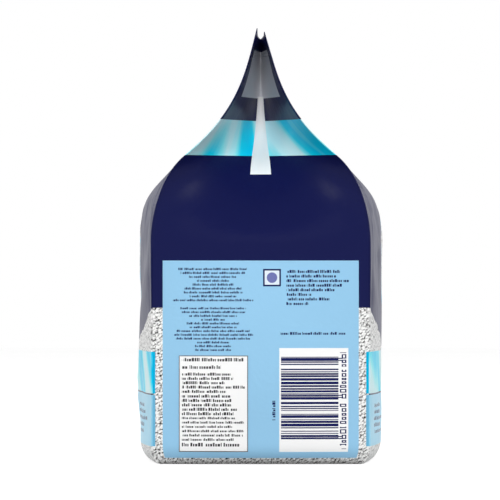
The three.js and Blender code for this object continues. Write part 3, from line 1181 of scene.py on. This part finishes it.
# Small print on the label: left, right, top, pitch, rows, letter height, shortest line as a share
LABEL_ROWS = [
    (-43.4, -9.3, 58.7, 4.0, 1, 1.9, 0.95),
    (-43.4, -21.0, 54.6, 4.0, 1, 1.9, 0.95),
    (-43.4, -8.5, 50.6, 2.38, 5, 1.6, 0.6),
    (-43.4, -8.5, 38.6, 2.43, 5, 1.7, 0.7),
    (-43.4, -8.5, 26.3, 2.38, 4, 1.3, 0.75),
    (-43.4, -8.5, 16.9, 2.4, 2, 1.4, 0.8),
    (-43.4, -10.0, 12.0, 2.5, 1, 2.0, 0.95),
]
LABEL_BORDER = 0.45
GRAIN_SCALE = 2.2
GRAIN_HEIGHT = 0.02 * MM
PAPER_DULLNESS = 0.40
PAPER_DULLNESS_SPARE = 0.12


def label_paper():
    material, w, shader = new_material("label_paper")
    across, up = film_place(w)
    left, right = 1000 * LABEL_LOW[0] + LABEL_BORDER, 1000 * LABEL_HIGH[0] - LABEL_BORDER
    low, high = 1000 * LABEL_LOW[2] + LABEL_BORDER, 1000 * LABEL_HIGH[2] - LABEL_BORDER
    colour = w.mix(w.patch(across, up, left, right, low, high), BORDER_GREY, WHITE)
    for left, right, top, pitch, rows, letter, least in LABEL_ROWS:
        colour = print_rows(w, across, up, colour, PRINT_BLACK, Left=left, Right=right, Top=top,
                            Pitch=pitch, Rows=float(rows), Letter=letter, Least=least, Seed=top)
    w.join(colour, shader.inputs["Base Color"])
    grain = w.noise(w.point(across, up), GRAIN_SCALE, 3.0)
    dull = w.math("MULTIPLY_ADD", grain, PAPER_DULLNESS_SPARE, PAPER_DULLNESS)
    w.join(dull, shader.inputs["Roughness"])
    add_bump(w, shader, grain, GRAIN_HEIGHT)
    return material


# Camera: level, at the picture's middle height, far off with a long lens
PICTURE_PIXELS = 500
PIXEL_SIZE = 0.55 * MM
CAMERA_DISTANCE = 3.5
CAMERA_PLACE = (-5.9 * MM, -CAMERA_DISTANCE - HALF_PANEL, 118 * MM)
CAMERA_SENSOR = 36
CAMERA_SIGHT = 50

# The light that the world gives the bag, and how far up reflections still see white walls
WORLD_LIGHT = 0.35
WALL_FADE = (0.0, 0.35)

FLOOR_SIZE = 8
FLOOR_GREY = 0.2
FLOOR_DULLNESS = 0.9
FLOOR_SEEN = 0.86

# The lamps: how far off along X and along Y, how high, how wide, and how strong in watts
CORNER_LAMP = (1.85, 2.05, 1.05, 0.9, 13)
END_LAMP = (0, 2.4, 1.2, 1.0, 34)
SIDE_LAMP = (2.0, 0, 2.3, 1.0, 22)
LAMPS_AIM = (0, 0, 0.12)


def add_camera():
    bpy.ops.object.camera_add(location=CAMERA_PLACE, rotation=(math.pi / 2, 0, 0))
    camera = bpy.context.object
    camera.data.sensor_width = CAMERA_SENSOR
    camera.data.lens = CAMERA_SENSOR * CAMERA_DISTANCE / (PICTURE_PIXELS * PIXEL_SIZE)
    camera.data.clip_end = CAMERA_SIGHT
    bpy.context.scene.camera = camera


def white_to_the_eye(w, low, high, mirrored=1.0):
    """A strength of high to the camera, reflections and glass, and low to the light itself."""
    path = w.add("LightPath")
    glossy = w.math("MULTIPLY", path.outputs["Is Glossy Ray"], mirrored)
    seen = w.math("MAXIMUM", path.outputs["Is Camera Ray"], glossy)
    seen = w.math("MAXIMUM", seen, path.outputs["Is Transmission Ray"])
    return w.math("MULTIPLY_ADD", seen, high - low, low)


def add_world():
    """White all round to the eye. Overhead, reflections see only the plain light between the lamps."""
    world = bpy.data.worlds.new("studio")
    world.use_nodes = True
    bpy.context.scene.world = world
    w = Wiring(world.node_tree)
    background = world.node_tree.nodes["Background"]
    background.inputs["Color"].default_value = (1, 1, 1, 1)
    parts = w.add("SeparateXYZ")
    w.join(w.add("TexCoord").outputs["Generated"], parts.inputs[0])
    walls = w.fall(parts.outputs["Z"], *WALL_FADE)
    w.join(white_to_the_eye(w, WORLD_LIGHT, 1.0, walls), background.inputs["Strength"])


def add_floor():
    bpy.ops.mesh.primitive_plane_add(size=FLOOR_SIZE, location=(0, 0, 0))
    floor = bpy.context.object
    floor.name = "floor"
    material, w, shader = new_material("pale_floor")
    shader.inputs["Base Color"].default_value = (FLOOR_GREY, FLOOR_GREY, FLOOR_GREY, 1)
    shader.inputs["Roughness"].default_value = FLOOR_DULLNESS
    shader.inputs["Emission Color"].default_value = (1, 1, 1, 1)
    w.join(white_to_the_eye(w, 0.0, FLOOR_SEEN), shader.inputs["Emission Strength"])
    floor.data.materials.append(material)


def add_light(name, lamp, side_x, side_y, mirrored=True):
    """Adds a lamp on the sides given as -1, 0 or 1, aimed at the middle of the bag."""
    x, y, height, size, power = lamp
    place = (side_x * x, side_y * y, height)
    bpy.ops.object.light_add(type="AREA", location=place)
    light = bpy.context.object
    light.name = name
    light.data.shape = "DISK"
    light.data.size = size
    light.data.energy = power
    light.visible_glossy = mirrored
    away = [aim - start for aim, start in zip(LAMPS_AIM, place)]
    turn = math.atan2(away[1], away[0]) - math.pi / 2
    tilt = math.atan2(math.hypot(away[0], away[1]), -away[2])
    light.rotation_euler = (tilt, 0, turn)


def add_lights():
    """A soft lamp off each corner, so that no side is left in the dark, and one above each end
    and each side. The film mirrors all but the two above the ends."""
    for end, side_y in (("front", -1), ("back", 1)):
        add_light(f"{end}_high", END_LAMP, 0, side_y, mirrored=False)
        for side, side_x in (("left", -1), ("right", 1)):
            add_light(f"{side}_{end}_soft", CORNER_LAMP, side_x, side_y)
    for side, side_x in (("left", -1), ("right", 1)):
        add_light(f"{side}_high", SIDE_LAMP, side_x, 0)


for thing in list(bpy.data.objects):
    if thing.type in {"LIGHT", "CAMERA"}:
        bpy.data.objects.remove(thing)

film = make_film()
film.data.materials.append(printed_film())
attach(film, "root")
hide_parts("filled_bag")

label = make_label()
label.data.materials.append(label_paper())
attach(label, "root")
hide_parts("adhesive_label")

add_camera()
add_world()
add_floor()
add_lights()
bpy.context.scene.view_settings.view_transform = "Standard"
